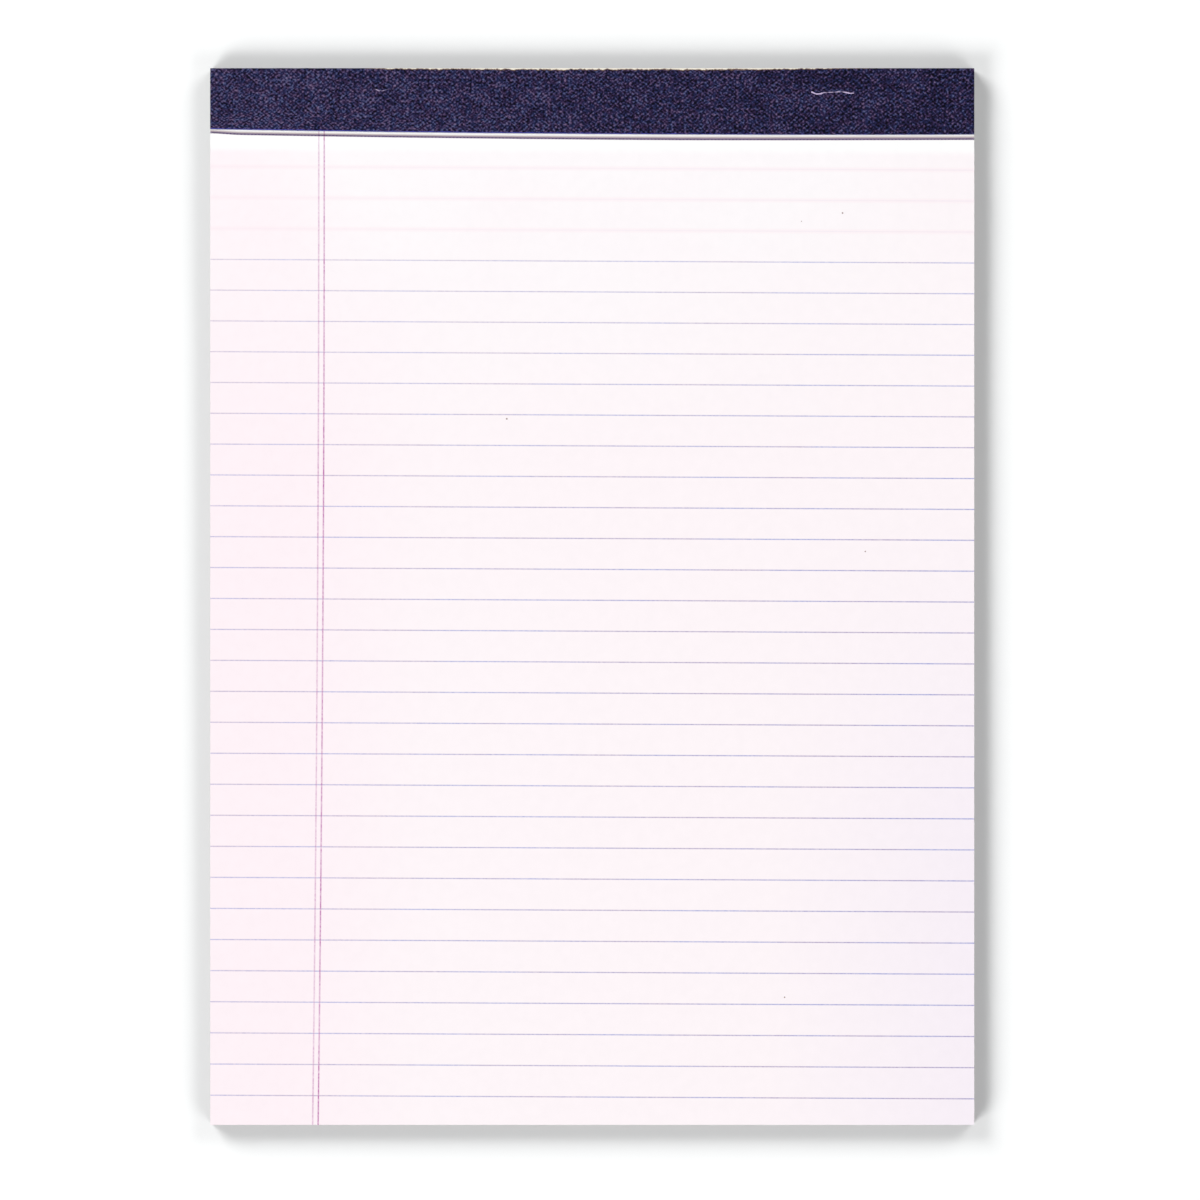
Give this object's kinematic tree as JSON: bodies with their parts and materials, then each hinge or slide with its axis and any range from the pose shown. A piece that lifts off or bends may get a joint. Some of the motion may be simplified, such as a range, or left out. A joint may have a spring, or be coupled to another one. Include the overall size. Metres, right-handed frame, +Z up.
{
  "type": "legal pad",
  "caption": "Ruled writing pad of tear-off sheets on a chipboard back, stapled and bound over the head with a folded tape.",
  "frame": {"origin": "centre of the footprint, on the surface the pad lies on", "axes": "+X to the right of the pad, +Y from the foot to the bound head, +Z up out of the top sheet"},
  "size_m": [0.216, 0.2986, 0.0059],
  "materials": {
    "chipboard": "uncoated grey-brown recycled chipboard",
    "ruled_paper": "uncoated white bond paper with pale rules and a double pink margin",
    "binding_paper": "coated navy paper, embossed with a fine diamond grain, semi-matt",
    "staple_wire": "galvanised flattened wire"
  },
  "bodies": {
    "root": {"backing_board": "chipboard", "page_block": "ruled_paper", "binding_tape": "binding_paper", "staple_left": "staple_wire", "staple_right": "staple_wire"}
  },
  "joints": []
}
